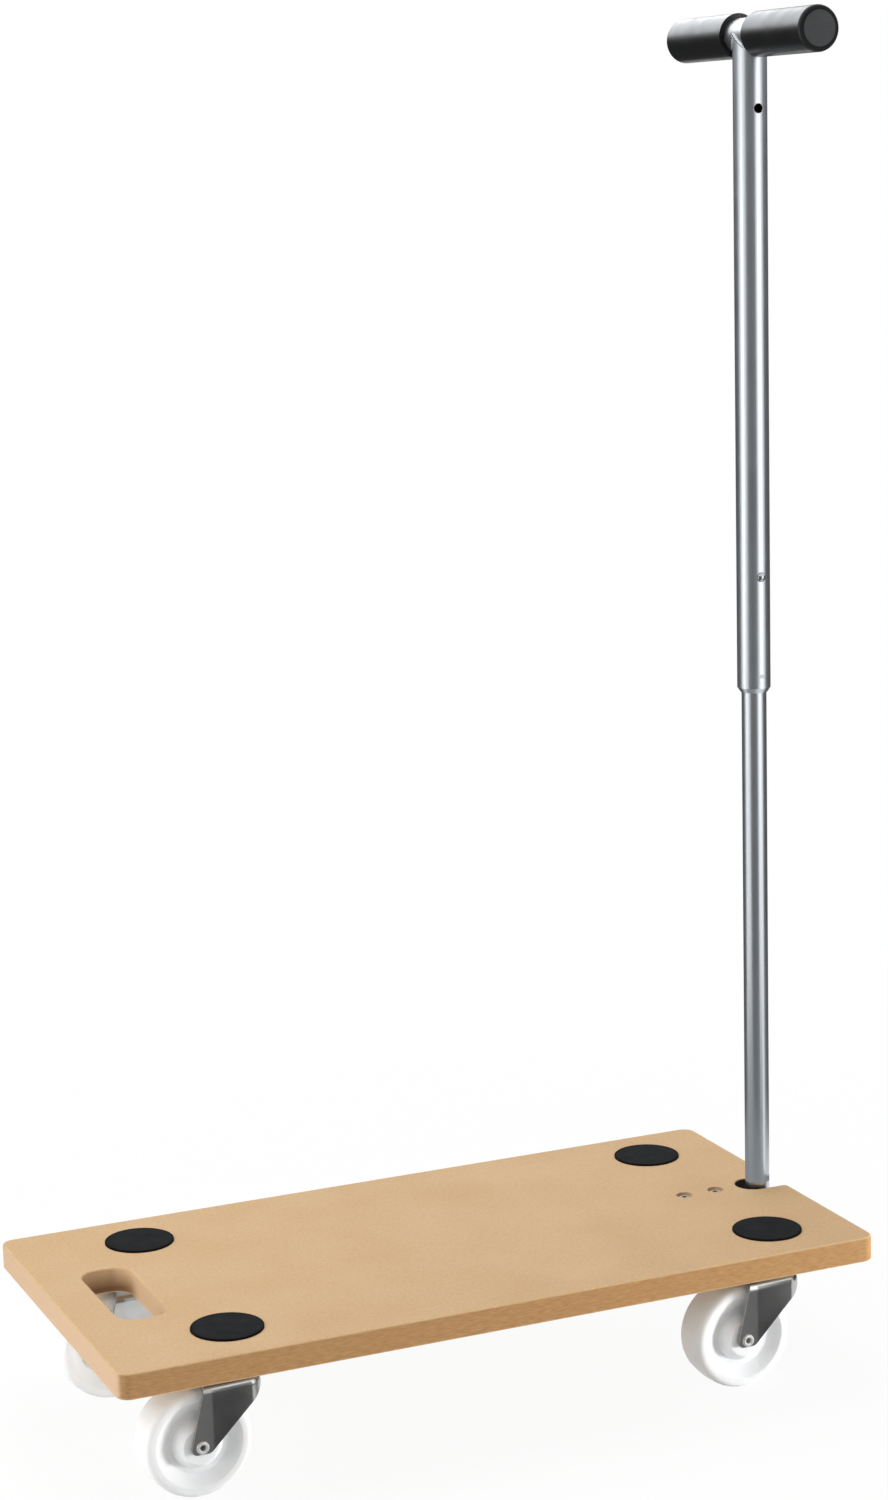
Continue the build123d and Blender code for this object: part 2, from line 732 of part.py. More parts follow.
# Upper tube: swaged in at its foot, coped to the crossbar at its top, with two locking holes
with BuildPart() as upper_tube:
    lip_bore = lower_radius + swage_clearance
    with BuildSketch(pole_plane):
        with BuildLine():
            Polyline(
                (lip_bore, upper_tube_bottom),
                (lip_bore + swage_lip, upper_tube_bottom),
                (upper_radius, upper_tube_bottom + swage_height),
                (upper_radius, crossbar_z),
                (upper_bore_radius, crossbar_z),
                (upper_bore_radius, upper_tube_bottom + swage_height),
                (lip_bore, upper_tube_bottom + swage_lip),
                close=True,
            )
        make_face()
    revolve(axis=pole_axis)
    with Locations(Location((pole_x, 0, crossbar_z), across_y)):
        Cylinder(crossbar_radius + fixed_clearance, 2 * upper_tube_diameter, mode=Mode.SUBTRACT)
    with Locations(*[Location((pole_x, 0, z), across_y) for z in (button_z, upper_hole_z)]):
        Cylinder(lock_hole_radius, upper_tube_diameter, align=on_seat, mode=Mode.SUBTRACT)
    with Locations(
        (pole_x, dimple_depth - upper_radius - dimple_radius, upper_tube_bottom + dimple_height)
    ):
        Sphere(dimple_radius, mode=Mode.SUBTRACT)
save(upper_tube.part, "upper_tube")

# Guide bush in the foot of the upper tube, running on the lower one
with BuildPart() as guide_bush:
    with BuildSketch(Plane.XY.offset(upper_tube_bottom + swage_height)):
        with Locations((pole_x, 0)):
            Circle(upper_bore_radius - fixed_clearance)
            Circle(lower_radius + running_clearance, mode=Mode.SUBTRACT)
    extrude(amount=bush_length)
save(guide_bush.part, "guide_bush")

# Crossbar of the T-handle
with BuildPart() as crossbar:
    with Locations(Location((pole_x, 0, crossbar_z), across_y)):
        Cylinder(crossbar_radius, crossbar_length)
        Cylinder(crossbar_radius - crossbar_wall, crossbar_length, mode=Mode.SUBTRACT)
save(crossbar.part, "crossbar")

# Grip sleeve and end plug of the left side, and their mirror images on the right
grip_start = grip_space / 2
grip_end = grip_start + grip_length
with BuildPart() as grip:
    with BuildSketch(crossbar_plane) as grip_section:
        with Locations((grip_start, crossbar_radius + fixed_clearance)):
            Rectangle(
                grip_length,
                grip_diameter / 2 - crossbar_radius - fixed_clearance,
                align=(Align.MIN, Align.MIN),
            )
        outer_corners = grip_section.vertices().group_by(Axis.Y)[-1].sort_by(Axis.X)
        fillet(outer_corners[-1], grip_end_radius)
        fillet(outer_corners[0], grip_inner_radius)
    revolve(axis=crossbar_axis)
save(grip.part, "grip_left")
save(grip.part.mirror(Plane.XZ), "grip_right")

with BuildPart() as plug:
    crossbar_end = crossbar_length / 2
    spigot_radius = crossbar_radius - crossbar_wall - fixed_clearance
    with BuildSketch(crossbar_plane):
        with BuildLine():
            Polyline(
                (crossbar_end - plug_spigot, 0),
                (crossbar_end - plug_spigot, spigot_radius - plug_rib),
                (crossbar_end, spigot_radius - plug_rib),
                (crossbar_end, crossbar_radius),
                (crossbar_end + plug_flange, crossbar_radius),
                (crossbar_end + plug_flange, 0),
                close=True,
            )
        make_face()
        for rib in range(1, int(plug_spigot / plug_rib_spacing)):
            with Locations((crossbar_end - rib * plug_rib_spacing, 0)):
                Rectangle(plug_rib_spacing / 2, spigot_radius, align=(Align.CENTER, Align.MIN))
    revolve(axis=crossbar_axis)
save(plug.part, "end_plug_left")
save(plug.part.mirror(Plane.XZ), "end_plug_right")
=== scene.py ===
"""Looks of a moving dolly: a fibreboard deck on four swivel casters, with a telescopic T-handle."""

import json
import math

import bmesh
import bpy
from bpy.props import FloatProperty, FloatVectorProperty, PointerProperty
from mathutils import Matrix, Vector


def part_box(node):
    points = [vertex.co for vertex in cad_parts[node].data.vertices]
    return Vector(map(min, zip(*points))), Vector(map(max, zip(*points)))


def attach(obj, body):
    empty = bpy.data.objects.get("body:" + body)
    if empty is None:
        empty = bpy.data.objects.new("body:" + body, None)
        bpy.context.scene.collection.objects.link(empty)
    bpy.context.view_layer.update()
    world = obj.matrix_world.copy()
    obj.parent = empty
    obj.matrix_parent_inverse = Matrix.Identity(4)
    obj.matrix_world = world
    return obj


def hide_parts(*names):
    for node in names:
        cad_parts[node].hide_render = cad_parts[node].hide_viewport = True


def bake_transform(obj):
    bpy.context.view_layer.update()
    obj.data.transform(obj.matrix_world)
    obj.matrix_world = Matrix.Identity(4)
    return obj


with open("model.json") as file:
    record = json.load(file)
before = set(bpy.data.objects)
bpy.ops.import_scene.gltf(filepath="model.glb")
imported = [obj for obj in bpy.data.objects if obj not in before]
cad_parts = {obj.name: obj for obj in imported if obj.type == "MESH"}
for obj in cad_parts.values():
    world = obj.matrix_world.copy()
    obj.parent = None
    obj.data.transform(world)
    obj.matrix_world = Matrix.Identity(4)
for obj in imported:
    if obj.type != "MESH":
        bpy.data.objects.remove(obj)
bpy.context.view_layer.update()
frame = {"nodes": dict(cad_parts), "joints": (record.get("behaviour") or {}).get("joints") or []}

bl_info = {
    "name": "Moving dolly",
    "version": (1, 0, 0),
    "blender": (4, 5, 0),
    "location": "3D View > Sidebar > Dolly",
    "description": "Finishes, weld and stage of a moving dolly with a telescopic T-handle",
    "category": "Object",
}

MM = 0.001
CORNERS = ("front_left", "front_right", "rear_left", "rear_right")
NEAR_CORNERS = ("front_right", "rear_right")

# Where nearly all values of a noise lie
NOISE_LOW = 0.3
NOISE_HIGH = 0.7

# Colours of light
NEUTRAL = (1.0, 1.0, 1.0)
COOL = (0.92, 0.96, 1.0)

# Places on the stage, in metres
FLOOR_REACH = 8.0
LAMP_DISTANCE = 2.5
CARD_WALL_DISTANCE = 3.0
CARD_FLOOR_START = 0.45
CARD_LIFT = Vector((0.0, 0.0, 1.0 * MM))

# How light the other cards are beside the plain grey one
DECK_CARD = 2.0
PALE_CARD = 1.5
DIM_CARD = 0.6
DARK_CARD = 0.4


def middle(node):
    """Middle of a CAD node's box."""
    low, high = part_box(node)
    return (low + high) / 2


def linear(hex_colour):
    """Linear red, green and blue of an sRGB hex colour."""
    channels = [int(hex_colour[start : start + 2], 16) / 255 for start in (1, 3, 5)]
    return tuple(c / 12.92 if c <= 0.04045 else ((c + 0.055) / 1.055) ** 2.4 for c in channels)


def opaque(colour):
    """A colour as a socket takes it, with its alpha."""
    return (*colour, 1.0)


def colour_setting(name, description, hex_colour):
    """A colour that a user may change, given in sRGB hex."""
    return FloatVectorProperty(
        name=name,
        description=description,
        subtype="COLOR",
        size=3,
        min=0.0,
        max=1.0,
        default=linear(hex_colour),
    )


def length_setting(name, description, millimetres):
    """A length that a user may change, given in millimetres."""
    return FloatProperty(
        name=name, description=description, unit="LENGTH", precision=5, min=0.0, default=millimetres * MM
    )


def share_setting(name, description, default):
    """A share from 0 to 1 that a user may change."""
    return FloatProperty(
        name=name, description=description, subtype="FACTOR", min=0.0, max=1.0, default=default
    )


def angle_setting(name, description, degrees):
    """An angle that a user may change, given in degrees."""
    return FloatProperty(
        name=name, description=description, subtype="ANGLE", default=math.radians(degrees)
    )


class BoardSettings(bpy.types.PropertyGroup):
    """Finish of the deck board."""

    face: colour_setting("Face", "Sanded faces of the board", "#D6B68E")
    face_fleck: colour_setting("Face fleck", "Darker fibre clumps in the faces", "#C6A175")
    side: colour_setting("Side", "Machined long sides and corners", "#B99061")
    side_streak: colour_setting("Side streak", "Darker streaks of the machined sides", "#A57B4F")
    end: colour_setting("End", "Sanded short ends", "#CFAF8E")
    # The hand hole's walls: the pale tone is painted light on the long walls, and the browned foot is
    # painted shade, not scorching
    hole_wall_lit: colour_setting("Hole wall lit", "Walls of the hand hole", "#EBC79D")
    hole_wall_shaded: colour_setting("Hole wall shaded", "Browned foot of the hand hole's walls", "#86603B")
    # Notch is painted shade: the near black of the narrow gap round the pole, not oil
    notch: colour_setting("Notch", "Oiled walls of the notch round the pole", "#1C120B")
    fibre: length_setting("Fibre", "Size of a clump of fibres", 2.4)
    streak: length_setting("Streak", "Thickness of a streak in the cut edge", 1.3)


class RubberSettings(bpy.types.PropertyGroup):
    """Finish of the pads, the grips and their plugs."""

    pad: colour_setting("Pad", "Matt rubber of the anti-slip pads", "#0D0F11")
    # Pad rim is painted shade: a near black ring for the shadow at each pad's edge
    pad_edge_shade: colour_setting("Pad edge shade", "Smooth moulded rim of the anti-slip pads", "#020202")
    grip: colour_setting("Grip", "Soft sleeve of the handle grips", "#08090A")
    plug: colour_setting("Plug", "Moulded end plugs of the crossbar", "#2C2E2F")
    pad_grain: length_setting("Pad grain", "Grain of the pads' moulded face", 0.9)
    grip_grain: length_setting("Grip grain", "Grain of the grips' skin", 0.8)


class MetalSettings(bpy.types.PropertyGroup):
    """Finish of the tubes, the pressed steel and the small steel pieces."""

    tube: colour_setting("Tube", "Plated and lacquered tubes of the handle", "#D9DFE4")
    # The crossbar's darker colour is painted shade that tones down its reflections; only its higher
    # roughness makes it duller
    crossbar_shaded: colour_setting("Crossbar", "Duller plating of the crossbar", "#9FA1A3")
    bore: colour_setting("Bore", "Unplated inside of the tubes", "#141416")
    zinc: colour_setting("Zinc", "Bright zinc of forks, plates and fasteners", "#C6C6C5")
    # Rivet is a painted highlight: zinc made near white and half metallic, so the rivet ends show bright
    rivet: colour_setting("Rivet", "Dull rolled ends of the axle rivets", "#ECECEA")
    bearing: colour_setting("Bearing", "Polished balls of the swivel races", "#CFCFD0")
    spring: colour_setting("Spring", "Blued strip of the button's spring", "#6F7177")
    edge: length_setting("Edge", "Rounding of the pressed steel's cut edges", 0.35)
    draw_line: length_setting("Draw line", "Width of the lines left by drawing the tubes", 0.5)


class WheelSettings(bpy.types.PropertyGroup):
    """Finish of the wheels and of the moulded guides in the handle."""

    nylon: colour_setting("Nylon", "White polyamide of the wheels", "#F6F9FC")
    guide: colour_setting("Guide", "Black acetal of the guide pieces", "#141414")
    glow: share_setting("Glow", "Share of light that scatters under the nylon's skin", 0.6)


class WeldSettings(bpy.types.PropertyGroup):
    """Sizes of the weld and of the deburred hole rims."""

    ripple_pitch: length_setting("Ripple pitch", "Distance from one weld ripple to the next", 1.0)
    ripple_length: length_setting("Ripple length", "Half of a ripple's length along the bead", 1.5)
    bead_radius: length_setting("Bead radius", "Half of the weld bead's width", 1.7)
    voxel: length_setting("Voxel", "Fineness of the fused weld bead", 0.28)
    rim_thickness: length_setting("Rim thickness", "Thickness of a locking hole's bright rim", 0.35)


class StageSettings(bpy.types.PropertyGroup):
    """Camera, floor, light of the room and grey cards."""

    camera_place: FloatVectorProperty(
        name="Camera place",
        description="Where the camera stands",
        subtype="TRANSLATION",
        unit="LENGTH",
        default=(-0.85263, -2.02093, 0.90715),
    )
    camera_yaw: angle_setting("Camera yaw", "Turn of the view from +Y towards +X", 23.316)
    camera_pitch: angle_setting("Camera pitch", "Tilt of the view below the horizon", 10.794)
    camera_roll: angle_setting("Camera roll", "Turn of the camera about its own view", -1.492)
    lens: FloatProperty(
        name="Lens", description="Focal length in millimetres on a 36 mm side", default=73.54
    )
    floor: colour_setting("Floor", "Pale studio floor", "#F4F4F2")
    ambient: share_setting("Ambient", "Light of the surrounding room on the object", 0.2)
    card: share_setting("Card", "How light the grey cards look in the metal", 0.15)


SETTINGS = {
    "dolly_board": BoardSettings,
    "dolly_rubber": RubberSettings,
    "dolly_metal": MetalSettings,
    "dolly_wheel": WheelSettings,
    "dolly_weld": WeldSettings,
    "dolly_stage": StageSettings,
}


def add_node(tree, kind, settings=None, links=None):
    """Add one node: settings by attribute, input name or input number, links by input name or number."""
    node = tree.nodes.new(kind)
    for key, value in (settings or {}).items():
        if isinstance(key, int) or key in node.inputs:
            node.inputs[key].default_value = value
        else:
            setattr(node, key, value)
    for key, source in (links or {}).items():
        tree.links.new(source, node.inputs[key])
    return node


def start_material(name):
    """A new material, its node tree, its shader and the coordinates of the piece that wears it."""
    material = bpy.data.materials.new(name)
    material.use_nodes = True
    tree = material.node_tree
    place = add_node(tree, "ShaderNodeTexCoord").outputs["Object"]
    return material, tree, tree.nodes["Principled BSDF"], place


def grain(tree, place, lump, low, high, detail=4.0):
    """Values from low to high in lumps of this size in metres along X, Y and Z."""
    scale = [1 / size for size in lump]
    scaled = add_node(tree, "ShaderNodeMapping", {"Scale": scale}, {"Vector": place}).outputs["Vector"]
    noise = add_node(tree, "ShaderNodeTexNoise", {"Scale": 1.0, "Detail": detail}, {"Vector": scaled})
    spread = add_node(
        tree,
        "ShaderNodeMapRange",
        {"From Min": NOISE_LOW, "From Max": NOISE_HIGH, "To Min": low, "To Max": high},
        {"Value": noise.outputs[0]},
    )
    return spread.outputs["Result"]


def two_tone(tree, factor, first, second):
    """A colour between two, by a factor; each is a colour or another node's socket."""
    mix = add_node(tree, "ShaderNodeMix", {"data_type": "RGBA"}, {0: factor})
    for number, tone in ((6, first), (7, second)):
        if isinstance(tone, bpy.types.NodeSocket):
            tree.links.new(tone, mix.inputs[number])
        else:
            mix.inputs[number].default_value = opaque(tone)
    return mix.outputs[2]


def relief(tree, shader, height, depth, normal=None):
    """Bump of this depth in metres on the shader, over a normal if one is given."""
    bump = add_node(tree, "ShaderNodeBump", {"Strength": 1.0, "Distance": depth}, {"Height": height})
    if normal:
        tree.links.new(normal, bump.inputs["Normal"])
    tree.links.new(bump.outputs["Normal"], shader.inputs["Normal"])


def cut_edge_share(tree, height, low, high):
    """1 on the board's cut edges, 0 on its two faces and their sanded roundings."""
    face_depth = 0.3 * MM
    edge_depth = 1.5 * MM
    above = add_node(tree, "ShaderNodeMath", {"operation": "SUBTRACT", 1: low.z}, {0: height}).outputs[0]
    below = add_node(tree, "ShaderNodeMath", {"operation": "SUBTRACT", 0: high.z}, {1: height}).outputs[0]
    depth = add_node(tree, "ShaderNodeMath", {"operation": "MINIMUM"}, {0: above, 1: below}).outputs[0]
    share = add_node(
        tree,
        "ShaderNodeMapRange",
        {"interpolation_type": "SMOOTHSTEP", "From Min": face_depth, "From Max": edge_depth},
        {"Value": depth},
    )
    return share.outputs["Result"]


def short_end_share(tree, along, end):
    """1 on the board's short ends, 0 on its long sides and most of its rounded corners."""
    start_depth = 3.0 * MM
    whole_depth = 0.4 * MM
    share = add_node(
        tree,
        "ShaderNodeMapRange",
        {"interpolation_type": "SMOOTHSTEP", "From Min": end - start_depth, "From Max": end - whole_depth},
        {"Value": along},
    )
    return share.outputs["Result"]


def cut_out_share(tree, along, across, end):
    """1 on the walls of the hand hole and the notch, the only cut edges near the middle of the width."""
    half_width = 57 * MM
    end_skin = 4 * MM
    inside = add_node(tree, "ShaderNodeMath", {"operation": "LESS_THAN", 1: half_width}, {0: across})
    off_end = add_node(tree, "ShaderNodeMath", {"operation": "LESS_THAN", 1: end - end_skin}, {0: along})
    share = add_node(
        tree, "ShaderNodeMath", {"operation": "MULTIPLY"}, {0: inside.outputs[0], 1: off_end.outputs[0]}
    )
    return share.outputs[0]


def hole_wall_light_and_shade(tree, board, across, height, low, high):
    """The hand hole's wall, with painted light and shade: pale on its long straight stretch, darker at its
    foot and round its ends.
    """
    foot_start = high.z - 3 * MM
    foot_whole = low.z + 4 * MM
    straight_half = 18 * MM
    ends_half = 47 * MM
    straight_share = 0.15
    foot = add_node(
        tree, "ShaderNodeMapRange", {"From Min": foot_start, "From Max": foot_whole}, {"Value": height}
    ).outputs["Result"]
    round_end = add_node(
        tree,
        "ShaderNodeMapRange",
        {
            "interpolation_type": "SMOOTHSTEP",
            "From Min": straight_half,
            "From Max": ends_half,
            "To Min": straight_share,
        },
        {"Value": across},
    ).outputs["Result"]
    # Painted shade: darker towards the foot of the hole and round its ends
    shade_share = add_node(tree, "ShaderNodeMath", {"operation": "MULTIPLY"}, {0: foot, 1: round_end})
    return two_tone(tree, shade_share.outputs[0], board.hole_wall_lit, board.hole_wall_shaded)


def sanded_fibreboard(board):
    """Raw medium-density fibreboard: soft matt faces with fine flecks, browner, streaked cut edges, and
    painted light and shade on the walls of the hand hole and the notch.
    """
    material, tree, shader, place = start_material("sanded_fibreboard")
    low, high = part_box("deck_board")
    apart = add_node(tree, "ShaderNodeSeparateXYZ", links={"Vector": place}).outputs
    along = add_node(tree, "ShaderNodeMath", {"operation": "ABSOLUTE"}, {0: apart["X"]}).outputs[0]
    across = add_node(tree, "ShaderNodeMath", {"operation": "ABSOLUTE"}, {0: apart["Y"]}).outputs[0]

    # Faces: flecks of fibre over slow clouds
    cloud_size = 70 * MM
    cloud_share = 0.4
    fleck_share = 0.55
    fleck = grain(tree, place, [board.fibre] * 3, 0.0, 1.0, detail=6.0)
    cloud = grain(tree, place, [cloud_size] * 3, 0.0, cloud_share)
    mottle = add_node(
        tree, "ShaderNodeMath", {"operation": "MULTIPLY_ADD", 1: fleck_share}, {0: fleck, 2: cloud}
    ).outputs[0]
    face = two_tone(tree, mottle, board.face, board.face_fleck)

    # Outer edges: the real streaks are about half as thick, too fine to show from a few steps away
    streak_length = 7 * MM
    streak = grain(tree, place, (streak_length, streak_length, board.streak), 0.0, 1.0, detail=6.0)
    side = two_tone(tree, streak, board.side, board.side_streak)
    outer = two_tone(tree, short_end_share(tree, along, high.x), side, board.end)

    # Inner edges: the hand hole with its painted light and shade, and past this place along the board the
    # notch, painted near black as shade
    notch_start = middle("lower_tube").x - 25 * MM
    by_pole = add_node(
        tree, "ShaderNodeMath", {"operation": "GREATER_THAN", 1: notch_start}, {0: apart["X"]}
    ).outputs[0]
    hole = hole_wall_light_and_shade(tree, board, across, apart["Z"], low, high)
    # Painted shade: the notch's walls near black, as the narrow gap round the pole would be in shadow
    inner = two_tone(tree, by_pole, hole, board.notch)

    edge = two_tone(tree, cut_out_share(tree, along, across, high.x), outer, inner)
    colour = two_tone(tree, cut_edge_share(tree, apart["Z"], low, high), face, edge)
    tree.links.new(colour, shader.inputs["Base Color"])

    rough_patch = 4 * MM
    rough = grain(tree, place, [rough_patch] * 3, low=0.58, high=0.72)
    tree.links.new(rough, shader.inputs["Roughness"])
    shader.inputs["Specular IOR Level"].default_value = 0.35
    relief(tree, shader, fleck, depth=0.02 * MM)
    return material


def grained_moulding(name, colour, lump, roughness, depth, gloss=0.5):
    """Near black moulding with a fine grain that breaks up its sheen; gives what start_material gives."""
    material, tree, shader, place = start_material(name)
    speck_gain = 1.35
    speck_lift = 0.002
    sheen_patch = 12 * MM
    unevenness = 0.05
    speck = grain(tree, place, [lump] * 3, 0.0, 1.0, detail=3.0)
    lighter = [min(1.0, channel * speck_gain + speck_lift) for channel in colour]
    tree.links.new(two_tone(tree, speck, colour, lighter), shader.inputs["Base Color"])
    spread = grain(tree, place, [sheen_patch] * 3, roughness - unevenness, roughness + unevenness)
    tree.links.new(spread, shader.inputs["Roughness"])
    shader.inputs["Specular IOR Level"].default_value = gloss
    relief(tree, shader, speck, depth)
    return material, tree, shader, place


def black_acetal(name, wheel):
    """Black acetal of guides and washers: an even, slippery dull sheen."""
    return grained_moulding(name, wheel.guide, lump=0.8 * MM, roughness=0.45, depth=0.01 * MM)[0]


def plug_polyethylene(rubber):
    """Moulded polyethylene of the end plugs: dark grey and waxy, with a coarse skin."""
    name = "moulded_plug_polyethylene"
    return grained_moulding(name, rubber.plug, lump=1.1 * MM, roughness=0.55, depth=0.03 * MM)[0]


def pad_rubber(rubber):
    """Matt moulded rubber with a grained face and a near black ring of painted shade at its edge, placed on
    each pad's own centre.
    """
    material, tree, shader, place = grained_moulding(
        "matt_pad_rubber", rubber.pad, rubber.pad_grain, roughness=0.8, depth=0.06 * MM, gloss=0.15
    )
    low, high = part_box("pad_front_left")
    radius = (high.x - low.x) / 2
    front = middle("pad_front_left")
    rear = middle("pad_rear_left")

    # The four pads folded onto one, by their distance from the middle between them
    folded = add_node(
        tree,
        "ShaderNodeMapping",
        {"Location": (-(front.x + rear.x) / 2, 0.0, 0.0), "Scale": (1.0, 1.0, 0.0)},
        {"Vector": place},
    ).outputs["Vector"]
    corner = add_node(tree, "ShaderNodeVectorMath", {"operation": "ABSOLUTE"}, {0: folded})
    spot = ((front.x - rear.x) / 2, front.y, 0.0)
    away = add_node(
        tree, "ShaderNodeVectorMath", {"operation": "DISTANCE", 1: spot}, {0: corner.outputs["Vector"]}
    )

    # Painted shade: a near black ring at the pad's edge
    rim_start = radius - 2.0 * MM
    rim_whole = radius - 1.4 * MM
    in_edge_shade = add_node(
        tree,
        "ShaderNodeMapRange",
        {"interpolation_type": "SMOOTHSTEP", "From Min": rim_start, "From Max": rim_whole},
        {"Value": away.outputs["Value"]},
    ).outputs["Result"]
    face = shader.inputs["Base Color"].links[0].from_socket
    tree.links.new(two_tone(tree, in_edge_shade, face, rubber.pad_edge_shade), shader.inputs["Base Color"])
    return material


def grip_vinyl(rubber):
    """Dipped soft vinyl: a satin skin along the grips, and matt cut ends."""
    material, tree, shader, place = grained_moulding(
        "satin_grip_vinyl", rubber.grip, rubber.grip_grain, roughness=0.33, depth=0.006 * MM
    )
    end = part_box("grip_left")[1].y
    cut_start = end - 1.5 * MM
    cut_whole = end - 0.4 * MM
    cut_roughness = 0.9
    apart = add_node(tree, "ShaderNodeSeparateXYZ", links={"Vector": place}).outputs
    across = add_node(tree, "ShaderNodeMath", {"operation": "ABSOLUTE"}, {0: apart["Y"]}).outputs[0]
    cut_end = add_node(
        tree,
        "ShaderNodeMapRange",
        {
            "interpolation_type": "SMOOTHSTEP",
            "From Min": cut_start,
            "From Max": cut_whole,
            "To Max": cut_roughness,
        },
        {"Value": across},
    ).outputs["Result"]
    satin = shader.inputs["Roughness"].links[0].from_socket
    matt = add_node(tree, "ShaderNodeMath", {"operation": "MAXIMUM"}, {0: satin, 1: cut_end}).outputs[0]
    tree.links.new(matt, shader.inputs["Roughness"])
    return material


def plated_outside(tree, place, node, axis):
    """1 on a tube's outside and its swaged lower end, 0 in its bore; axis is the number of its own axis."""
    wall = 1.0 * MM
    swage = 5 * MM
    low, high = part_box(node)
    centre = (low + high) / 2
    side = (axis + 1) % 3
    radius = (high[side] - low[side]) / 2
    flat = [1.0, 1.0, 1.0]
    flat[axis] = 0.0
    out = add_node(
        tree,
        "ShaderNodeMapping",
        {"vector_type": "POINT", "Location": [-c * f for c, f in zip(centre, flat)], "Scale": flat},
        {"Vector": place},
    ).outputs["Vector"]
    away = add_node(tree, "ShaderNodeVectorMath", {"operation": "LENGTH"}, {0: out}).outputs["Value"]
    outside = add_node(tree, "ShaderNodeMath", {"operation": "GREATER_THAN", 1: radius - wall}, {0: away})
    apart = add_node(tree, "ShaderNodeSeparateXYZ", links={"Vector": place}).outputs
    swaged = add_node(
        tree, "ShaderNodeMath", {"operation": "LESS_THAN", 1: low[axis] + swage}, {0: apart[axis]}
    )
    share = add_node(
        tree, "ShaderNodeMath", {"operation": "MAXIMUM"}, {0: outside.outputs[0], 1: swaged.outputs[0]}
    )
    return share.outputs[0]


def drawn_tube(metal, node, axis, colour, roughness):
    """Drawn steel tube, bright plated: satin, with faint lines along its length, and dark inside."""
    material, tree, shader, place = start_material(f"plated_{node}")
    line_length = 1500 * MM
    line_shade = 0.95
    haze_patch = 30 * MM
    unevenness = 0.02
    lump = [metal.draw_line] * 3
    lump[axis] = line_length
    line = grain(tree, place, lump, 0.0, 1.0, detail=2.0)
    darker = [channel * line_shade for channel in colour]
    plated = two_tone(tree, line, colour, darker)
    bright = plated_outside(tree, place, node, axis)
    tree.links.new(two_tone(tree, bright, metal.bore, plated), shader.inputs["Base Color"])
    haze = grain(tree, place, [haze_patch] * 3, roughness - unevenness, roughness + unevenness)
    tree.links.new(haze, shader.inputs["Roughness"])
    shader.inputs["Metallic"].default_value = 1.0
    relief(tree, shader, line, depth=0.0004 * MM)
    return material


def bright_zinc(name, colour, edge, roughness=0.22, metallic=1.0):
    """Steel with bright zinc plating: a clean metal with faint clouds and soft cut edges."""
    material, tree, shader, place = start_material(name)
    cloud_patch = 15 * MM
    cloud_shade = 0.9
    haze_patch = 20 * MM
    unevenness = 0.02
    cloud = grain(tree, place, [cloud_patch] * 3, 0.0, 1.0, detail=1.0)
    darker = [channel * cloud_shade for channel in colour]
    tree.links.new(two_tone(tree, cloud, colour, darker), shader.inputs["Base Color"])
    haze = grain(tree, place, [haze_patch] * 3, roughness - unevenness, roughness + unevenness, detail=1.0)
    tree.links.new(haze, shader.inputs["Roughness"])
    shader.inputs["Metallic"].default_value = metallic
    rounded = add_node(tree, "ShaderNodeBevel", {"samples": 6, "Radius": edge})
    relief(tree, shader, cloud, depth=0.002 * MM, normal=rounded.outputs["Normal"])
    return material


def white_nylon(wheel):
    """Injection-moulded white polyamide: satin, a little translucent, with faint flow clouds."""
    material, tree, shader, place = start_material("white_nylon")
    flow_patch = 14 * MM
    flow_shade = 0.965
    skin_grain = 1.2 * MM
    flow = grain(tree, place, [flow_patch] * 3, 0.0, 1.0)
    cooler = [channel * flow_shade for channel in wheel.nylon]
    tree.links.new(two_tone(tree, flow, wheel.nylon, cooler), shader.inputs["Base Color"])
    skin = grain(tree, place, [skin_grain] * 3, low=0.33, high=0.43)
    tree.links.new(skin, shader.inputs["Roughness"])
    shader.inputs["IOR"].default_value = 1.53
    shader.inputs["Subsurface Weight"].default_value = wheel.glow
    shader.inputs["Subsurface Radius"].default_value = (1.0, 0.95, 0.9)
    shader.inputs["Subsurface Scale"].default_value = 6 * MM
    relief(tree, shader, skin, depth=0.01 * MM)
    return material


def dress(material, *nodes):
    """Give CAD nodes this material and no other."""
    for node in nodes:
        slots = frame["nodes"][node].data.materials
        slots.clear()
        slots.append(material)


def on_corners(*pieces):
    """Names of caster pieces at all four corners."""
    return [f"{piece}_{corner}" for piece in pieces for corner in CORNERS]


def add_piece(name, mesh, body, material):
    """A new piece that rides on a body and wears the given material."""
    piece = bpy.data.objects.new(name, mesh)
    bpy.context.scene.collection.objects.link(piece)
    mesh.materials.clear()
    mesh.materials.append(material)
    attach(piece, body)


def settled_mesh(piece):
    """Mesh of an object as its modifiers leave it; the object itself is removed."""
    bpy.context.view_layer.update()
    graph = bpy.context.evaluated_depsgraph_get()
    mesh = bpy.data.meshes.new_from_object(piece.evaluated_get(graph))
    bpy.data.objects.remove(piece)
    return mesh


def smooth_copy(node, sharp_angle):
    """Merged copy of a CAD node's mesh, smooth but for edges over this angle."""
    mesh = frame["nodes"][node].data.copy()
    shape = bmesh.new()
    shape.from_mesh(mesh)
    bmesh.ops.remove_doubles(shape, verts=shape.verts, dist=0.001 * MM)
    shape.to_mesh(mesh)
    shape.free()
    if "custom_normal" in mesh.attributes:
        mesh.attributes.remove(mesh.attributes["custom_normal"])
    mesh.shade_smooth()
    mesh.set_sharp_from_angle(angle=sharp_angle)
    return mesh


class DOLLY_OT_board(bpy.types.Operator):
    """Finish the deck board"""

    bl_idname = "dolly.board"
    bl_label = "Deck board"

    def execute(self, context):
        dress(sanded_fibreboard(context.scene.dolly_board), "deck_board")
        return {"FINISHED"}


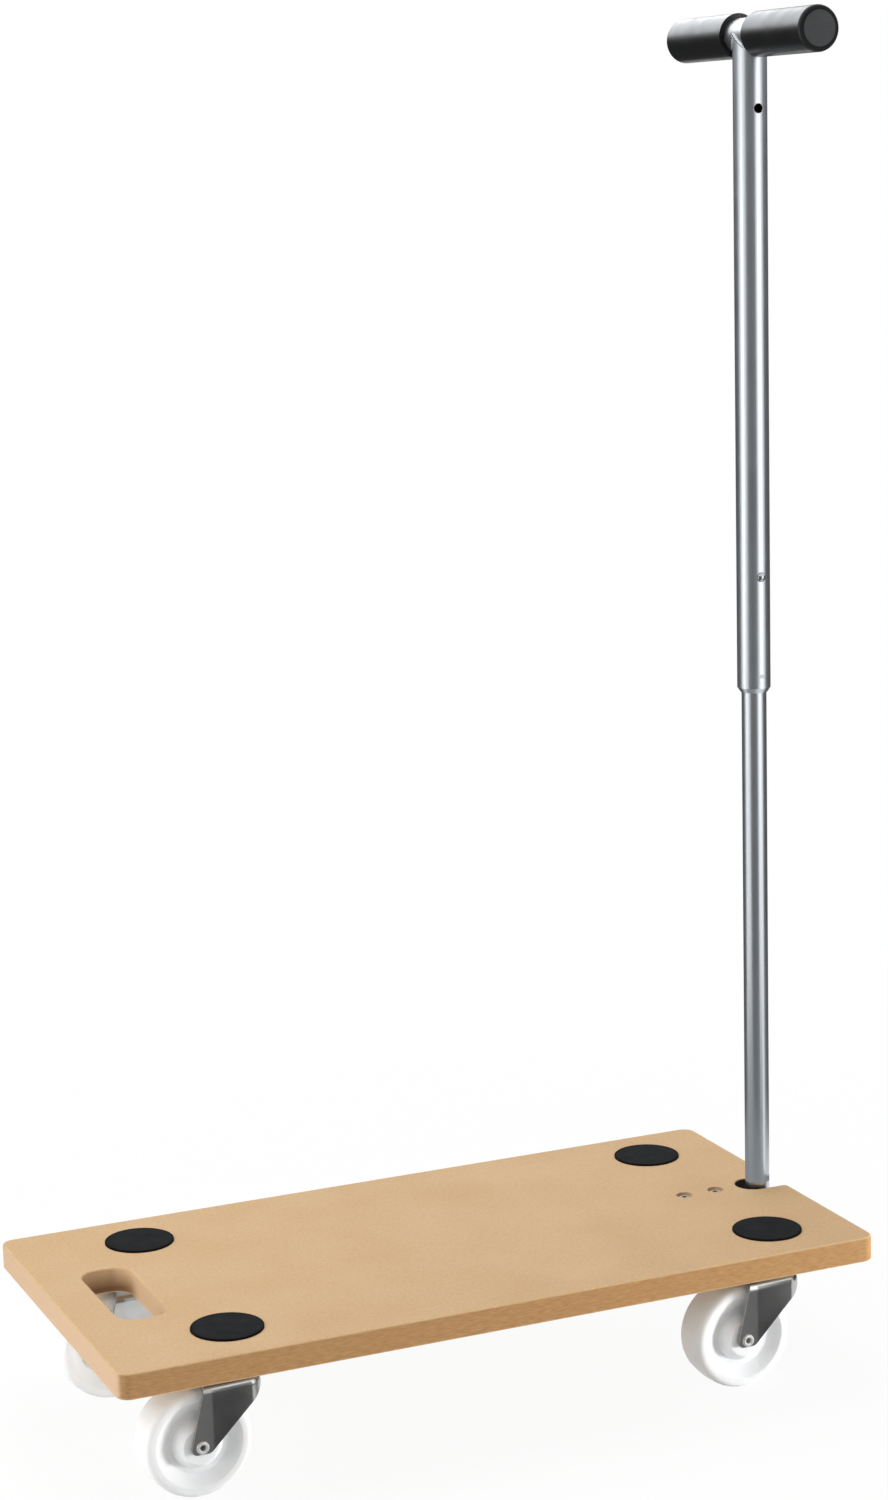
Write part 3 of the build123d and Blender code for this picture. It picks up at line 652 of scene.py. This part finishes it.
class DOLLY_OT_pads(bpy.types.Operator):
    """Finish the four anti-slip pads"""

    bl_idname = "dolly.pads"
    bl_label = "Anti-slip pads"

    def execute(self, context):
        dress(pad_rubber(context.scene.dolly_rubber), *on_corners("pad"))
        return {"FINISHED"}


class DOLLY_OT_wheels(bpy.types.Operator):
    """Finish the four wheels"""

    bl_idname = "dolly.wheels"
    bl_label = "Wheels"

    def execute(self, context):
        dress(white_nylon(context.scene.dolly_wheel), *on_corners("wheel"))
        return {"FINISHED"}


class DOLLY_OT_casters(bpy.types.Operator):
    """Finish the forks, plates, pins, races and rivets of the casters"""

    bl_idname = "dolly.casters"
    bl_label = "Casters"

    def execute(self, context):
        metal = context.scene.dolly_metal
        pressed = bright_zinc("bright_zinc_pressing", metal.zinc, metal.edge)
        turned = bright_zinc("bright_zinc_pin", metal.zinc, metal.edge, roughness=0.18)
        # Painted highlight: the rivets' zinc made near white and half metallic, and a little duller
        rivet_painted_highlight = bright_zinc("rivet_zinc_painted_highlight", metal.rivet, metal.edge, roughness=0.3, metallic=0.5)
        polished = bright_zinc("polished_bearing_steel", metal.bearing, metal.edge, roughness=0.12)
        dress(pressed, *on_corners("mounting_plate", "fork"))
        dress(turned, *on_corners("kingpin", "thrust_washer", "axle_sleeve"), "caster_screws")
        dress(rivet_painted_highlight, *on_corners("axle_rivet"))
        dress(polished, *on_corners("race_balls"))
        return {"FINISHED"}


class DOLLY_OT_hinge(bpy.types.Operator):
    """Finish the hinge under the deck and its fasteners"""

    bl_idname = "dolly.hinge"
    bl_label = "Handle hinge"

    def execute(self, context):
        metal = context.scene.dolly_metal
        bracket = bright_zinc("bright_zinc_bracket", metal.zinc, metal.edge)
        fastener = bright_zinc("bright_zinc_fastener", metal.zinc, metal.edge, roughness=0.3)
        washer = black_acetal("black_acetal_washer", context.scene.dolly_wheel)
        dress(bracket, "hinge_bracket", "hinge_knuckle", "knuckle_pin")
        dress(fastener, "bracket_bolts", "bracket_nuts", "pivot_bolt", "pivot_nut")
        dress(washer, "friction_washers")
        return {"FINISHED"}


class DOLLY_OT_handle(bpy.types.Operator):
    """Finish the tubes of the handle, the snap button and the guides"""

    bl_idname = "dolly.handle"
    bl_label = "Handle"

    def execute(self, context):
        metal = context.scene.dolly_metal
        for tube in ("lower_tube", "upper_tube"):
            dress(drawn_tube(metal, tube, axis=2, colour=metal.tube, roughness=0.3), tube)
        # Same plating as the tubes, painted darker as shade to dim its reflections, and rougher
        dress(drawn_tube(metal, "crossbar", axis=1, colour=metal.crossbar_shaded, roughness=0.4), "crossbar")
        button = bright_zinc("polished_button", metal.bearing, metal.edge, roughness=0.15)
        dress(button, "snap_button")
        dress(black_acetal("black_acetal_guide", context.scene.dolly_wheel), "glide_sleeve", "guide_bush")
        return {"FINISHED"}


class DOLLY_OT_spring(bpy.types.Operator):
    """Put a smooth, merged copy of the button's strip spring, in blued steel, in place of the CAD spring"""

    bl_idname = "dolly.spring"
    bl_label = "Button spring"

    def execute(self, context):
        metal = context.scene.dolly_metal
        mesh = smooth_copy("button_spring", sharp_angle=math.radians(40.0))
        mesh.materials.clear()
        mesh.materials.append(bright_zinc("blued_spring", metal.spring, metal.edge, roughness=0.3))
        spring = bpy.data.objects.new("bending_spring", mesh)
        context.scene.collection.objects.link(spring)

        low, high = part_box("button_spring")
        strip = 0.8 * MM
        wall_leg = middle("button_spring")
        wall_leg.y = high.y - strip
        button_leg = middle("button_spring")
        button_leg.y = low.y + strip
        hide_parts("button_spring")
        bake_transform(spring)
        return {"FINISHED"}


class DOLLY_OT_grips(bpy.types.Operator):
    """Finish the two grips and the crossbar's end plugs"""

    bl_idname = "dolly.grips"
    bl_label = "Grips and plugs"

    def execute(self, context):
        rubber = context.scene.dolly_rubber
        dress(grip_vinyl(rubber), "grip_left", "grip_right")
        dress(plug_polyethylene(rubber), "end_plug_left", "end_plug_right")
        return {"FINISHED"}


def weld_ripple_tree(material):
    """Geometry nodes that lay overlapping weld ripples along a line of edges."""
    narrowest = 0.9
    widest = 1.08
    seed = 5
    tree = bpy.data.node_groups.new("weld_ripples", "GeometryNodeTree")
    tree.interface.new_socket("Line", in_out="INPUT", socket_type="NodeSocketGeometry")
    for name in ("Ripple pitch", "Ripple length", "Bead radius"):
        tree.interface.new_socket(name, in_out="INPUT", socket_type="NodeSocketFloat")
    tree.interface.new_socket("Bead", in_out="OUTPUT", socket_type="NodeSocketGeometry")
    given = add_node(tree, "NodeGroupInput").outputs
    line = add_node(tree, "GeometryNodeMeshToCurve", links={"Mesh": given["Line"]})
    places = add_node(
        tree,
        "GeometryNodeCurveToPoints",
        {"mode": "LENGTH"},
        {"Curve": line.outputs["Curve"], "Length": given["Ripple pitch"]},
    )
    drop = add_node(tree, "GeometryNodeMeshIcoSphere", {"Radius": 1.0, "Subdivisions": 2})
    uneven = add_node(
        tree, "FunctionNodeRandomValue", {"data_type": "FLOAT", 2: narrowest, 3: widest, "Seed": seed}
    )
    width = add_node(
        tree,
        "ShaderNodeMath",
        {"operation": "MULTIPLY"},
        {0: given["Bead radius"], 1: uneven.outputs[1]},
    ).outputs[0]
    size = add_node(
        tree, "ShaderNodeCombineXYZ", links={"X": width, "Y": width, "Z": given["Ripple length"]}
    )
    ripples = add_node(
        tree,
        "GeometryNodeInstanceOnPoints",
        links={
            "Points": places.outputs["Points"],
            "Instance": drop.outputs["Mesh"],
            "Rotation": places.outputs["Rotation"],
            "Scale": size.outputs["Vector"],
        },
    )
    whole = add_node(
        tree, "GeometryNodeRealizeInstances", links={"Geometry": ripples.outputs["Instances"]}
    )
    plated = add_node(
        tree, "GeometryNodeSetMaterial", {"Material": material}, {"Geometry": whole.outputs["Geometry"]}
    )
    add_node(tree, "NodeGroupOutput", links={"Bead": plated.outputs["Geometry"]})
    return tree


def saddle_line():
    """Closed line where the upper tube meets the crossbar, as a mesh of edges."""
    low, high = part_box("crossbar")
    radius = (high.z - low.z) / 2
    centre = middle("crossbar")
    count = 96
    places = []
    for step in range(count):
        turn = 2 * math.pi * step / count
        out = Vector((math.cos(turn), math.sin(turn), -abs(math.sin(turn))))
        places.append(centre + radius * out)
    mesh = bpy.data.meshes.new("saddle_line")
    mesh.from_pydata(places, [(step, (step + 1) % count) for step in range(count)], [])
    return mesh


class DOLLY_OT_weld(bpy.types.Operator):
    """Weld the crossbar to the upper tube"""

    bl_idname = "dolly.weld"
    bl_label = "Handle weld"

    def execute(self, context):
        weld = context.scene.dolly_weld
        metal = context.scene.dolly_metal
        plated = bright_zinc("plated_weld_bead", metal.tube, metal.edge, roughness=0.25)
        tree = weld_ripple_tree(plated)
        line = bpy.data.objects.new("weld_line", saddle_line())
        context.scene.collection.objects.link(line)
        ripples = line.modifiers.new("Ripples", "NODES")
        ripples.node_group = tree
        sizes = {
            "Ripple pitch": weld.ripple_pitch,
            "Ripple length": weld.ripple_length,
            "Bead radius": weld.bead_radius,
        }
        for socket in tree.interface.items_tree:
            if socket.in_out == "INPUT" and socket.name in sizes:
                ripples[socket.identifier] = sizes[socket.name]
        fused = line.modifiers.new("Fuse", "REMESH")
        fused.mode = "VOXEL"
        fused.voxel_size = weld.voxel
        fused.use_smooth_shade = True
        add_piece("handle_weld", settled_mesh(line), "upper_handle", plated)
        return {"FINISHED"}


class DOLLY_OT_hole_rims(bpy.types.Operator):
    """Lay the bright deburred rims round the two locking holes of the upper tube"""

    bl_idname = "dolly.hole_rims"
    bl_label = "Locking hole rims"

    def execute(self, context):
        weld = context.scene.dolly_weld
        metal = context.scene.dolly_metal
        low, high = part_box("upper_tube")
        tube_radius = (high.x - low.x) / 2
        pole = middle("upper_tube")
        slide = next(joint for joint in frame["joints"] if joint["name"] == "handle_extend")
        travel = -slide["range_m"][0]
        lower_hole = middle("snap_button").z
        hole_radius = 3.65 * MM
        count = 40
        curve = bpy.data.curves.new("hole_rims", "CURVE")
        curve.dimensions = "3D"
        curve.bevel_depth = weld.rim_thickness / 2
        curve.bevel_resolution = 3
        for height in (lower_hole, lower_hole + travel):
            ring = curve.splines.new("POLY")
            ring.points.add(count - 1)
            ring.use_cyclic_u = True
            for step, point in enumerate(ring.points):
                turn = 2 * math.pi * step / count
                across = hole_radius * math.cos(turn)
                up = hole_radius * math.sin(turn)
                out = math.sqrt(tube_radius**2 - across**2)
                point.co = (pole.x + across, -out, height + up, 1.0)
        line = bpy.data.objects.new("hole_rim_line", curve)
        context.scene.collection.objects.link(line)
        bright = bright_zinc("deburred_hole_rim", metal.bearing, metal.edge, roughness=0.2)
        add_piece("hole_rims", settled_mesh(line), "upper_handle", bright)
        return {"FINISHED"}


def heading(turn):
    """Level direction at this turn from -Y towards +X."""
    return Vector((math.sin(turn), -math.cos(turn), 0.0))


def round_the_camera(stage, angle):
    """Level direction at this angle from the camera's side of the object, positive to its right."""
    return heading(math.radians(angle) - stage.camera_yaw)


def seen_by_eye(tree):
    """1 for the rays that show the background: from the camera, and through gloss and glass."""
    path = add_node(tree, "ShaderNodeLightPath").outputs
    some = add_node(
        tree, "ShaderNodeMath", {"operation": "ADD"}, {0: path["Is Camera Ray"], 1: path["Is Glossy Ray"]}
    )
    seen = add_node(
        tree,
        "ShaderNodeMath",
        {"operation": "ADD", "use_clamp": True},
        {0: some.outputs[0], 1: path["Is Transmission Ray"]},
    )
    return seen.outputs[0]


def white_room(stage):
    """World that shows white behind the object and lights it at the ambient level."""
    world = bpy.data.worlds.new("white_room")
    world.use_nodes = True
    tree = world.node_tree
    light = tree.nodes["Background"]
    light.inputs["Color"].default_value = opaque(NEUTRAL)
    strength = add_node(
        tree,
        "ShaderNodeMapRange",
        {"To Min": stage.ambient, "To Max": 1.0},
        {"Value": seen_by_eye(tree)},
    )
    tree.links.new(strength.outputs["Result"], light.inputs["Strength"])
    bpy.context.scene.world = world


def studio_floor(stage):
    """Pale floor that keeps the shadow near the object and runs out to the white background."""
    material, tree, shader, place = start_material("studio_floor")
    fade_start = 0.3
    fade_end = 1.3
    white_near = 0.94
    material.cycles.emission_sampling = "NONE"
    shader.inputs["Base Color"].default_value = opaque(stage.floor)
    shader.inputs["Roughness"].default_value = 0.9
    shader.inputs["Specular IOR Level"].default_value = 0.0
    away = add_node(tree, "ShaderNodeVectorMath", {"operation": "LENGTH"}, {0: place})
    fade = add_node(
        tree,
        "ShaderNodeMapRange",
        {
            "interpolation_type": "SMOOTHSTEP",
            "From Min": fade_start,
            "From Max": fade_end,
            "To Min": white_near,
        },
        {"Value": away.outputs["Value"]},
    ).outputs["Result"]
    share = add_node(tree, "ShaderNodeMath", {"operation": "MULTIPLY"}, {0: fade, 1: seen_by_eye(tree)})
    white = add_node(tree, "ShaderNodeEmission", {"Strength": 1.0})
    both = add_node(
        tree,
        "ShaderNodeMixShader",
        links={0: share.outputs[0], 1: shader.outputs["BSDF"], 2: white.outputs["Emission"]},
    )
    tree.links.new(both.outputs["Shader"], tree.nodes["Material Output"].inputs["Surface"])
    return material


def lay_floor(stage):
    """Flat floor that reaches past every view."""
    ends = (-FLOOR_REACH, FLOOR_REACH)
    mesh = bpy.data.meshes.new("floor")
    mesh.from_pydata([(x, y, 0.0) for x in ends for y in ends], [], [(0, 2, 3, 1)])
    mesh.materials.append(studio_floor(stage))
    floor = bpy.data.objects.new("floor", mesh)
    bpy.context.scene.collection.objects.link(floor)


def pointing(place, target):
    """Matrix of a lamp at a place, looking at a target with its top up."""
    turn = (target - place).to_track_quat("-Z", "Y")
    return Matrix.Translation(place) @ turn.to_matrix().to_4x4()


def add_softbox(name, place, target, width, height, radiance, in_gloss=True, tint=NEUTRAL):
    """A rectangular lamp whose surface shines at this radiance, and may be kept out of reflections."""
    lamp = bpy.data.lights.new(name, "AREA")
    lamp.shape = "RECTANGLE"
    lamp.size = width
    lamp.size_y = height
    lamp.energy = radiance * math.pi * width * height
    lamp.color = tint
    holder = bpy.data.objects.new(name, lamp)
    holder.matrix_world = pointing(Vector(place), Vector(target))
    holder.visible_camera = False
    holder.visible_glossy = in_gloss
    bpy.context.scene.collection.objects.link(holder)


def hang_lamps(stage):
    """Softboxes that draw the tubes' bright bands, soft light from above, and low light on the wheels."""
    left = round_the_camera(stage, angle=-73.5) * LAMP_DISTANCE
    left_height = Vector((0.0, 0.0, 0.5))
    add_softbox("left_softbox", left + left_height, left_height, width=0.58, height=0.85, radiance=2.2)
    right = round_the_camera(stage, angle=55.0) * LAMP_DISTANCE
    right_height = Vector((0.0, 0.0, 0.6))
    add_softbox("right_softbox", right + right_height, right_height, width=0.95, height=1.2, radiance=1.2)
    add_softbox(
        "overhead_softbox",
        place=(0.1, 0.3, 2.7),
        target=(0.1, 0.0, 0.4),
        width=1.7,
        height=1.3,
        radiance=4.9,
        in_gloss=False,
    )
    add_softbox(
        "end_softbox",
        place=(-1.6, 0.1, 1.3),
        target=(-0.2, 0.0, 0.1),
        width=0.8,
        height=0.8,
        radiance=6.0,
        in_gloss=False,
    )
    add_softbox(
        "handle_softbox",
        place=(0.15, 1.0, 1.5),
        target=(0.27, 0.0, 1.0),
        width=1.2,
        height=0.55,
        radiance=4.0,
        tint=COOL,
    )
    add_softbox(
        "low_key",
        place=(1.7, -0.95, 0.06),
        target=(0.0, -0.12, 0.06),
        width=0.5,
        height=0.1,
        radiance=245.0,
        in_gloss=False,
    )
    add_softbox(
        "low_fill",
        place=(-1.5, -0.36, 0.12),
        target=(0.0, -0.12, 0.05),
        width=0.5,
        height=0.2,
        radiance=17.0,
        in_gloss=False,
    )


def grey_card(name, brightness, one_sided=False):
    """Grey card that stands beside bright metal to give its reflections dark bands."""
    material = bpy.data.materials.new(name)
    material.use_nodes = True
    material.cycles.emission_sampling = "NONE"
    tree = material.node_tree
    shown = add_node(tree, "ShaderNodeEmission", {"Strength": brightness}).outputs["Emission"]
    if one_sided:
        back = add_node(tree, "ShaderNodeNewGeometry").outputs["Backfacing"]
        clear = add_node(tree, "ShaderNodeBsdfTransparent").outputs["BSDF"]
        mix = add_node(tree, "ShaderNodeMixShader", links={0: back, 1: shown, 2: clear})
        shown = mix.outputs["Shader"]
    tree.links.new(shown, tree.nodes["Material Output"].inputs["Surface"])
    return material


def add_card(name, edge_points, material):
    """A card that only reflections see, through pairs of points on its two long edges."""
    count = len(edge_points) // 2
    faces = [(2 * step, 2 * step + 1, 2 * step + 3, 2 * step + 2) for step in range(count - 1)]
    mesh = bpy.data.meshes.new(name)
    mesh.from_pydata(edge_points, [], faces)
    mesh.materials.append(material)
    card = bpy.data.objects.new(name, mesh)
    bpy.context.scene.collection.objects.link(card)
    card.visible_camera = False
    card.visible_diffuse = False
    card.visible_transmission = False
    card.visible_volume_scatter = False
    card.visible_shadow = False


def stand_round_cards(stage):
    """Three arcs of card round the pole, each a wall and a stretch of floor, for the tubes' dark bands."""
    front = grey_card("grey_card", stage.card)
    behind = grey_card("dim_card", DIM_CARD * stage.card)
    foot = middle("lower_tube")
    foot.z = 0.0
    steps = 8
    for name, start, end, height, material in (
        ("front", -44, 26, 2.0, front),
        ("left", -176, -98, 1.3, behind),
        ("right", 80, 176, 1.3, behind),
    ):
        top = Vector((0.0, 0.0, height))
        wall = []
        ground = []
        for step in range(steps + 1):
            out = round_the_camera(stage, start + (end - start) * step / steps)
            far = foot + CARD_WALL_DISTANCE * out
            wall += [far, far + top]
            ground += [foot + CARD_FLOOR_START * out + CARD_LIFT, far + CARD_LIFT]
        add_card(f"{name}_wall_card", wall, material)
        add_card(f"{name}_floor_card", ground, material)


def stand_caster_cards(stage):
    """Cards beside the near casters, for the pale strip and the dark leg and shoulder of each fork."""
    pale = grey_card("pale_card", PALE_CARD * stage.card)
    dark = grey_card("dark_card", DARK_CARD * stage.card)
    crease_inset = 20 * MM
    chin_inset = 8 * MM
    reach = 0.6
    shoulder_distance = 0.3
    shoulder_top = Vector((0.0, 0.0, 0.16))
    strip_back = Vector((-0.25, 0.0, 0.0))
    strip_turn = math.radians(4.3)
    chin_turn = math.radians(14.0)
    for corner in NEAR_CORNERS:
        low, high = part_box(f"fork_{corner}")
        crease = Vector((middle(f"kingpin_{corner}").x - crease_inset, low.y, 0.0)) + 2 * CARD_LIFT
        chin = Vector((high.x - chin_inset, low.y, 0.0)) + 2 * CARD_LIFT
        eye = math.atan2(crease.x - stage.camera_place[0], crease.y - stage.camera_place[1])
        strip_edge = heading(eye + strip_turn)
        chin_edge = heading(eye + chin_turn)
        back = crease + strip_back
        crease_end = crease + reach * strip_edge
        chin_end = chin + reach * chin_edge
        add_card(f"{corner}_strip_card", [back, back + reach * heading(0.0), crease, crease_end], pale)
        add_card(f"{corner}_leg_card", [crease, crease_end, chin, chin_end], dark)
        bases = [crease + shoulder_distance * strip_edge, chin + shoulder_distance * chin_edge]
        shoulder = [base + up for base in bases for up in (CARD_LIFT, shoulder_top)]
        add_card(f"{corner}_shoulder_card", shoulder, dark)


def lay_deck_card(stage):
    """Card just over the deck, seen from above alone and only in reflections: a painted grey reflection in
    place of the board's tan in the pole's foot.
    """
    low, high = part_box("deck_board")
    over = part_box("pad_front_left")[1].z + 1 * MM
    corners = [Vector((x, y, over)) for x in (high.x, low.x) for y in (low.y, high.y)]
    add_card("deck_card", corners, grey_card("deck_card", DECK_CARD * stage.card, one_sided=True))


def place_camera(stage):
    """Camera at the photograph's place and angle."""
    lens = bpy.data.cameras.new("photo_camera")
    lens.sensor_fit = "VERTICAL"
    lens.sensor_height = 36.0
    lens.lens = stage.lens
    camera = bpy.data.objects.new("photo_camera", lens)
    camera.matrix_world = (
        Matrix.Translation(stage.camera_place)
        @ Matrix.Rotation(-stage.camera_yaw, 4, "Z")
        @ Matrix.Rotation(math.pi / 2 - stage.camera_pitch, 4, "X")
        @ Matrix.Rotation(stage.camera_roll, 4, "Z")
    )
    bpy.context.scene.collection.objects.link(camera)
    bpy.context.scene.camera = camera


class DOLLY_OT_stage(bpy.types.Operator):
    """Set up the room, the floor, the lamps, the grey cards and the camera"""

    bl_idname = "dolly.stage"
    bl_label = "Stage"

    def execute(self, context):
        context.scene.view_settings.view_transform = "Standard"
        stage = context.scene.dolly_stage
        white_room(stage)
        lay_floor(stage)
        hang_lamps(stage)
        stand_round_cards(stage)
        stand_caster_cards(stage)
        lay_deck_card(stage)
        place_camera(stage)
        return {"FINISHED"}


OPERATORS = (
    DOLLY_OT_stage,
    DOLLY_OT_board,
    DOLLY_OT_pads,
    DOLLY_OT_wheels,
    DOLLY_OT_casters,
    DOLLY_OT_hinge,
    DOLLY_OT_handle,
    DOLLY_OT_spring,
    DOLLY_OT_grips,
    DOLLY_OT_weld,
    DOLLY_OT_hole_rims,
)


class DOLLY_PT_panel(bpy.types.Panel):
    """Sidebar list of the dolly's pieces and settings"""

    bl_idname = "DOLLY_PT_panel"
    bl_label = "Moving dolly"
    bl_space_type = "VIEW_3D"
    bl_region_type = "UI"
    bl_category = "Dolly"

    def draw(self, context):
        for operator in OPERATORS:
            self.layout.operator(operator.bl_idname)
        for name, group in SETTINGS.items():
            box = self.layout.box()
            box.label(text=group.__doc__)
            for setting in group.__annotations__:
                box.prop(getattr(context.scene, name), setting)


def register():
    """Add the settings, the operators and the panel to this session."""
    for name, group in SETTINGS.items():
        bpy.utils.register_class(group)
        setattr(bpy.types.Scene, name, PointerProperty(type=group))
    for made in (*OPERATORS, DOLLY_PT_panel):
        bpy.utils.register_class(made)


def unregister():
    """Take out what register added."""
    for made in reversed((*OPERATORS, DOLLY_PT_panel)):
        bpy.utils.unregister_class(made)
    for name, group in SETTINGS.items():
        delattr(bpy.types.Scene, name)
        bpy.utils.unregister_class(group)


def main():
    """Dress the dolly on its stage."""
    register()
    for operator in OPERATORS:
        _, name = operator.bl_idname.split(".")
        getattr(bpy.ops.dolly, name)()


if __name__ == "__main__":
    main()
